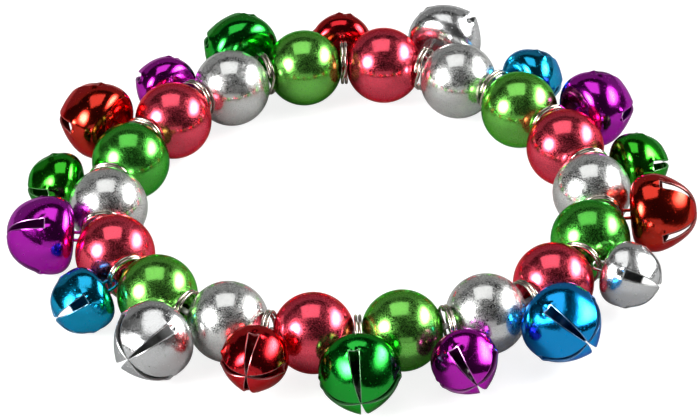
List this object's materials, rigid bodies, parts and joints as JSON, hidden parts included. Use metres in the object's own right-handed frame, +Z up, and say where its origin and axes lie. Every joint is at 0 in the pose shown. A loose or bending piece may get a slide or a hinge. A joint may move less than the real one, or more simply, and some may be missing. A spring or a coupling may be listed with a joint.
{
  "type": "wrist bells",
  "caption": "Stretch bracelet of round metal-plated beads on an elastic cord, with a small jingle bell hung on a split ring in every gap.",
  "frame": {"origin": "middle of the loop, in the plane of the cord and of the bead centres", "axes": "+Z up out of the wrist opening with the loop lying flat, -Y towards the front, +X to the right"},
  "size_m": [0.1041, 0.1026, 0.0129],
  "materials": {
    "clear_elastic": "smooth elastic",
    "nickel_wire": "polished nickel",
    "pellet_steel": "plain steel",
    "silver_plated_bead": "metal-plated, glossy",
    "red_plated_bead": "metal-plated, glossy",
    "green_plated_bead": "metal-plated, glossy",
    "silver_lacquered_bell": "mirror plating",
    "red_lacquered_bell": "mirror lacquer",
    "green_lacquered_bell": "mirror lacquer",
    "purple_lacquered_bell": "mirror lacquer",
    "blue_lacquered_bell": "mirror lacquer"
  },
  "bodies": {
    "strung_loop": {"elastic_cord": "clear_elastic", "split_rings": "nickel_wire"},
    "silver_bead_1": {"silver_bead_1": "silver_plated_bead"},
    "red_bead_2": {"red_bead_2": "red_plated_bead"},
    "green_bead_3": {"green_bead_3": "green_plated_bead"},
    "silver_bead_4": {"silver_bead_4": "silver_plated_bead"},
    "red_bead_5": {"red_bead_5": "red_plated_bead"},
    "green_bead_6": {"green_bead_6": "green_plated_bead"},
    "silver_bead_7": {"silver_bead_7": "silver_plated_bead"},
    "red_bead_8": {"red_bead_8": "red_plated_bead"},
    "green_bead_9": {"green_bead_9": "green_plated_bead"},
    "silver_bead_10": {"silver_bead_10": "silver_plated_bead"},
    "red_bead_11": {"red_bead_11": "red_plated_bead"},
    "green_bead_12": {"green_bead_12": "green_plated_bead"},
    "silver_bead_13": {"silver_bead_13": "silver_plated_bead"},
    "red_bead_14": {"red_bead_14": "red_plated_bead"},
    "green_bead_15": {"green_bead_15": "green_plated_bead"},
    "silver_bead_16": {"silver_bead_16": "silver_plated_bead"},
    "red_bead_17": {"red_bead_17": "red_plated_bead"},
    "green_bead_18": {"green_bead_18": "green_plated_bead"},
    "large_silver_bell_1": {"large_silver_bell_1": "silver_lacquered_bell"},
    "small_red_bell_2": {"small_red_bell_2": "red_lacquered_bell"},
    "large_green_bell_3": {"large_green_bell_3": "green_lacquered_bell"},
    "small_purple_bell_4": {"small_purple_bell_4": "purple_lacquered_bell"},
    "large_blue_bell_5": {"large_blue_bell_5": "blue_lacquered_bell"},
    "small_silver_bell_6": {"small_silver_bell_6": "silver_lacquered_bell"},
    "large_red_bell_7": {"large_red_bell_7": "red_lacquered_bell"},
    "small_green_bell_8": {"small_green_bell_8": "green_lacquered_bell"},
    "large_purple_bell_9": {"large_purple_bell_9": "purple_lacquered_bell"},
    "small_blue_bell_10": {"small_blue_bell_10": "blue_lacquered_bell"},
    "large_silver_bell_11": {"large_silver_bell_11": "silver_lacquered_bell"},
    "small_red_bell_12": {"small_red_bell_12": "red_lacquered_bell"},
    "large_green_bell_13": {"large_green_bell_13": "green_lacquered_bell"},
    "small_purple_bell_14": {"small_purple_bell_14": "purple_lacquered_bell"},
    "large_red_bell_15": {"large_red_bell_15": "red_lacquered_bell"},
    "small_green_bell_16": {"small_green_bell_16": "green_lacquered_bell"},
    "large_purple_bell_17": {"large_purple_bell_17": "purple_lacquered_bell"},
    "small_blue_bell_18": {"small_blue_bell_18": "blue_lacquered_bell"},
    "pellet_1": {"pellet_1": "pellet_steel"},
    "pellet_2": {"pellet_2": "pellet_steel"},
    "pellet_3": {"pellet_3": "pellet_steel"},
    "pellet_4": {"pellet_4": "pellet_steel"},
    "pellet_5": {"pellet_5": "pellet_steel"},
    "pellet_6": {"pellet_6": "pellet_steel"},
    "pellet_7": {"pellet_7": "pellet_steel"},
    "pellet_8": {"pellet_8": "pellet_steel"},
    "pellet_9": {"pellet_9": "pellet_steel"},
    "pellet_10": {"pellet_10": "pellet_steel"},
    "pellet_11": {"pellet_11": "pellet_steel"},
    "pellet_12": {"pellet_12": "pellet_steel"},
    "pellet_13": {"pellet_13": "pellet_steel"},
    "pellet_14": {"pellet_14": "pellet_steel"},
    "pellet_15": {"pellet_15": "pellet_steel"},
    "pellet_16": {"pellet_16": "pellet_steel"},
    "pellet_17": {"pellet_17": "pellet_steel"},
    "pellet_18": {"pellet_18": "pellet_steel"}
  },
  "joints": [
    {"name": "bead_1_spin", "type": "hinge", "parent": "strung_loop", "child": "silver_bead_1", "pos_m": [-0.01825, -0.03184, 0], "axis": [0.9204, -0.3909, 0], "continuous": true},
    {"name": "bell_1_swing", "type": "hinge", "parent": "strung_loop", "child": "large_silver_bell_1", "pos_m": [-0.0243, -0.02938, 0], "axis": [-0.8254, 0.5645, 0], "range_deg": [-55, 50]},
    {"name": "pellet_1_rattle", "type": "slide", "parent": "large_silver_bell_1", "child": "pellet_1", "axis": [0.0394, 0.0576, 0.9976], "range_m": [0, 0.007]},
    {"name": "bead_2_spin", "type": "hinge", "parent": "strung_loop", "child": "red_bead_2", "pos_m": [-0.00581, -0.03509, 0], "axis": [0.994, -0.1093, 0], "continuous": true},
    {"name": "bell_2_swing", "type": "hinge", "parent": "strung_loop", "child": "small_red_bell_2", "pos_m": [-0.01243, -0.03499, 0], "axis": [-0.9675, 0.2528, 0], "range_deg": [-60, 60]},
    {"name": "pellet_2_rattle", "type": "slide", "parent": "small_red_bell_2", "child": "pellet_2", "axis": [0.0264, 0.1011, 0.9945], "range_m": [0, 0.0057]},
    {"name": "bead_3_spin", "type": "hinge", "parent": "strung_loop", "child": "green_bead_3", "pos_m": [0.00709, -0.03493, 0], "axis": [0.9909, 0.1345, 0], "continuous": true},
    {"name": "bell_3_swing", "type": "hinge", "parent": "strung_loop", "child": "large_green_bell_3", "pos_m": [0.00066, -0.03665, 0], "axis": [-0.9999, -0.0127, 0], "range_deg": [-50, 55]},
    {"name": "pellet_3_rattle", "type": "slide", "parent": "large_green_bell_3", "child": "pellet_3", "axis": [0.0026, -0.2079, 0.9781], "range_m": [0, 0.007]},
    {"name": "bead_4_spin", "type": "hinge", "parent": "strung_loop", "child": "silver_bead_4", "pos_m": [0.01942, -0.0313, 0], "axis": [0.9062, 0.4227, 0], "continuous": true},
    {"name": "bell_4_swing", "type": "hinge", "parent": "strung_loop", "child": "small_purple_bell_4", "pos_m": [0.0137, -0.03461, 0], "axis": [-0.9595, -0.2818, 0], "range_deg": [-60, 60]},
    {"name": "pellet_4_rattle", "type": "slide", "parent": "small_purple_bell_4", "child": "pellet_4", "axis": [0.0441, -0.1501, 0.9877], "range_m": [0, 0.0057]},
    {"name": "bead_5_spin", "type": "hinge", "parent": "strung_loop", "child": "red_bead_5", "pos_m": [0.02964, -0.0237, 0], "axis": [0.6655, 0.7464, 0], "continuous": true},
    {"name": "bell_5_swing", "type": "hinge", "parent": "strung_loop", "child": "large_blue_bell_5", "pos_m": [0.02535, -0.0286, 0], "axis": [-0.8024, -0.5968, 0], "range_deg": [-50, 40]},
    {"name": "pellet_5_rattle", "type": "slide", "parent": "large_blue_bell_5", "child": "pellet_5", "axis": [0.0104, -0.014, 0.9998], "range_m": [0, 0.007]},
    {"name": "bead_6_spin", "type": "hinge", "parent": "strung_loop", "child": "green_bead_6", "pos_m": [0.03573, -0.0126, 0], "axis": [0.2711, 0.9625, 0], "continuous": true},
    {"name": "bell_6_swing", "type": "hinge", "parent": "strung_loop", "child": "small_silver_bell_6", "pos_m": [0.0338, -0.01876, 0], "axis": [-0.4807, -0.8769, 0], "range_deg": [-60, 60]},
    {"name": "pellet_6_rattle", "type": "slide", "parent": "small_silver_bell_6", "child": "pellet_6", "axis": [0.0459, -0.0252, 0.9986], "range_m": [0, 0.0057]},
    {"name": "bead_7_spin", "type": "hinge", "parent": "strung_loop", "child": "silver_bead_7", "pos_m": [0.0367, 0.00011, 0], "axis": [-0.1217, 0.9926, 0], "continuous": true},
    {"name": "bell_7_swing", "type": "hinge", "parent": "strung_loop", "child": "large_red_bell_7", "pos_m": [0.03759, -0.00635, 0], "axis": [-0.0762, -0.9971, 0], "range_deg": [-60, 55]},
    {"name": "pellet_7_rattle", "type": "slide", "parent": "large_red_bell_7", "child": "pellet_7", "axis": [-0.1042, 0.008, 0.9945], "range_m": [0, 0.007]},
    {"name": "bead_8_spin", "type": "hinge", "parent": "strung_loop", "child": "red_bead_8", "pos_m": [0.03329, 0.01251, 0], "axis": [-0.4023, 0.9155, 0], "continuous": true},
    {"name": "bell_8_swing", "type": "hinge", "parent": "strung_loop", "child": "small_green_bell_8", "pos_m": [0.03651, 0.00673, 0], "axis": [0.2648, -0.9643, 0], "range_deg": [-60, 60]},
    {"name": "pellet_8_rattle", "type": "slide", "parent": "small_green_bell_8", "child": "pellet_8", "axis": [0.1175, 0.0323, 0.9925], "range_m": [0, 0.0057]},
    {"name": "bead_9_spin", "type": "hinge", "parent": "strung_loop", "child": "green_bead_9", "pos_m": [0.0267, 0.02361, 0], "axis": [-0.612, 0.7909, 0], "continuous": true},
    {"name": "bell_9_swing", "type": "hinge", "parent": "strung_loop", "child": "large_purple_bell_9", "pos_m": [0.03141, 0.0189, 0], "axis": [0.511, -0.8596, 0], "range_deg": [-50, 55]},
    {"name": "pellet_9_rattle", "type": "slide", "parent": "large_purple_bell_9", "child": "pellet_9", "axis": [0.03, 0.0178, 0.9994], "range_m": [0, 0.007]},
    {"name": "bead_10_spin", "type": "hinge", "parent": "strung_loop", "child": "silver_bead_10", "pos_m": [0.0174, 0.03247, 0], "axis": [-0.8192, 0.5735, 0], "continuous": true},
    {"name": "bell_10_swing", "type": "hinge", "parent": "strung_loop", "child": "small_blue_bell_10", "pos_m": [0.02312, 0.02917, 0], "axis": [0.7238, -0.69, 0], "range_deg": [-35, 50]},
    {"name": "pellet_10_rattle", "type": "slide", "parent": "small_blue_bell_10", "child": "pellet_10", "axis": [0.0841, 0.0882, 0.9925], "range_m": [0, 0.0057]},
    {"name": "bead_11_spin", "type": "hinge", "parent": "strung_loop", "child": "red_bead_11", "pos_m": [0.00571, 0.03752, 0], "axis": [-0.9791, 0.2032, 0], "continuous": true},
    {"name": "bell_11_swing", "type": "hinge", "parent": "strung_loop", "child": "large_silver_bell_11", "pos_m": [0.01209, 0.03625, 0], "axis": [0.918, -0.3965, 0], "range_deg": [-40, 35]},
    {"name": "pellet_11_rattle", "type": "slide", "parent": "large_silver_bell_11", "child": "pellet_11", "axis": [0, 0, 1], "range_m": [0, 0.007]},
    {"name": "bead_12_spin", "type": "hinge", "parent": "strung_loop", "child": "green_bead_12", "pos_m": [-0.00696, 0.03724, 0], "axis": [-0.9692, -0.2465, 0], "continuous": true},
    {"name": "bell_12_swing", "type": "hinge", "parent": "strung_loop", "child": "small_red_bell_12", "pos_m": [-0.00065, 0.03865, 0], "axis": [0.9998, 0.0222, 0], "range_deg": [-55, 60]},
    {"name": "pellet_12_rattle", "type": "slide", "parent": "small_red_bell_12", "child": "pellet_12", "axis": [-0.0031, 0.1391, 0.9903], "range_m": [0, 0.0057]},
    {"name": "bead_13_spin", "type": "hinge", "parent": "strung_loop", "child": "silver_bead_13", "pos_m": [-0.01845, 0.03173, 0], "axis": [-0.7987, -0.6017, 0], "continuous": true},
    {"name": "bell_13_swing", "type": "hinge", "parent": "strung_loop", "child": "large_green_bell_13", "pos_m": [-0.0133, 0.03573, 0], "axis": [0.9016, 0.4326, 0], "range_deg": [-45, 45]},
    {"name": "pellet_13_rattle", "type": "slide", "parent": "large_green_bell_13", "child": "pellet_13", "axis": [-0.0151, 0.0315, 0.9994], "range_m": [0, 0.007]},
    {"name": "bead_14_spin", "type": "hinge", "parent": "strung_loop", "child": "red_bead_14", "pos_m": [-0.02748, 0.02258, 0], "axis": [-0.5917, -0.8062, 0], "continuous": true},
    {"name": "bell_14_swing", "type": "hinge", "parent": "strung_loop", "child": "small_purple_bell_14", "pos_m": [-0.02408, 0.02826, 0], "axis": [0.7027, 0.7115, 0], "range_deg": [-35, 50]},
    {"name": "pellet_14_rattle", "type": "slide", "parent": "small_purple_bell_14", "child": "pellet_14", "axis": [-0.0744, 0.0734, 0.9945], "range_m": [0, 0.0057]},
    {"name": "bead_15_spin", "type": "hinge", "parent": "strung_loop", "child": "green_bead_15", "pos_m": [-0.03379, 0.01132, 0], "axis": [-0.3789, -0.9254, 0], "continuous": true},
    {"name": "bell_15_swing", "type": "hinge", "parent": "strung_loop", "child": "large_red_bell_15", "pos_m": [-0.03207, 0.01775, 0], "axis": [0.489, 0.8723, 0], "range_deg": [-45, 40]},
    {"name": "pellet_15_rattle", "type": "slide", "parent": "large_red_bell_15", "child": "pellet_15", "axis": [0.0304, -0.0171, 0.9994], "range_m": [0, 0.007]},
    {"name": "bead_16_spin", "type": "hinge", "parent": "strung_loop", "child": "silver_bead_16", "pos_m": [-0.03682, -0.00117, 0], "axis": [-0.087, -0.9962, 0], "continuous": true},
    {"name": "bell_16_swing", "type": "hinge", "parent": "strung_loop", "child": "small_green_bell_16", "pos_m": [-0.03682, 0.00544, 0], "axis": [0.2357, 0.9718, 0], "range_deg": [-50, 60]},
    {"name": "pellet_16_rattle", "type": "slide", "parent": "small_green_bell_16", "child": "pellet_16", "axis": [-0.0847, 0.0205, 0.9962], "range_m": [0, 0.0057]},
    {"name": "bead_17_spin", "type": "hinge", "parent": "strung_loop", "child": "red_bead_17", "pos_m": [-0.03535, -0.01382, 0], "axis": [0.3136, -0.9496, 0], "continuous": true},
    {"name": "bell_17_swing", "type": "hinge", "parent": "strung_loop", "child": "large_purple_bell_17", "pos_m": [-0.03744, -0.00765, 0], "axis": [-0.1157, 0.9933, 0], "range_deg": [-45, 35]},
    {"name": "pellet_17_rattle", "type": "slide", "parent": "large_purple_bell_17", "child": "pellet_17", "axis": [0.1382, 0.0161, 0.9903], "range_m": [0, 0.007]},
    {"name": "bead_18_spin", "type": "hinge", "parent": "strung_loop", "child": "green_bead_18", "pos_m": [-0.02877, -0.02464, 0], "axis": [0.698, -0.7161, 0], "continuous": true},
    {"name": "bell_18_swing", "type": "hinge", "parent": "strung_loop", "child": "small_blue_bell_18", "pos_m": [-0.03315, -0.01989, 0], "axis": [-0.5191, 0.8547, 0], "range_deg": [-45, 60]},
    {"name": "pellet_18_rattle", "type": "slide", "parent": "small_blue_bell_18", "child": "pellet_18", "axis": [-0.1777, -0.1079, 0.9781], "range_m": [0, 0.0057]}
  ]
}
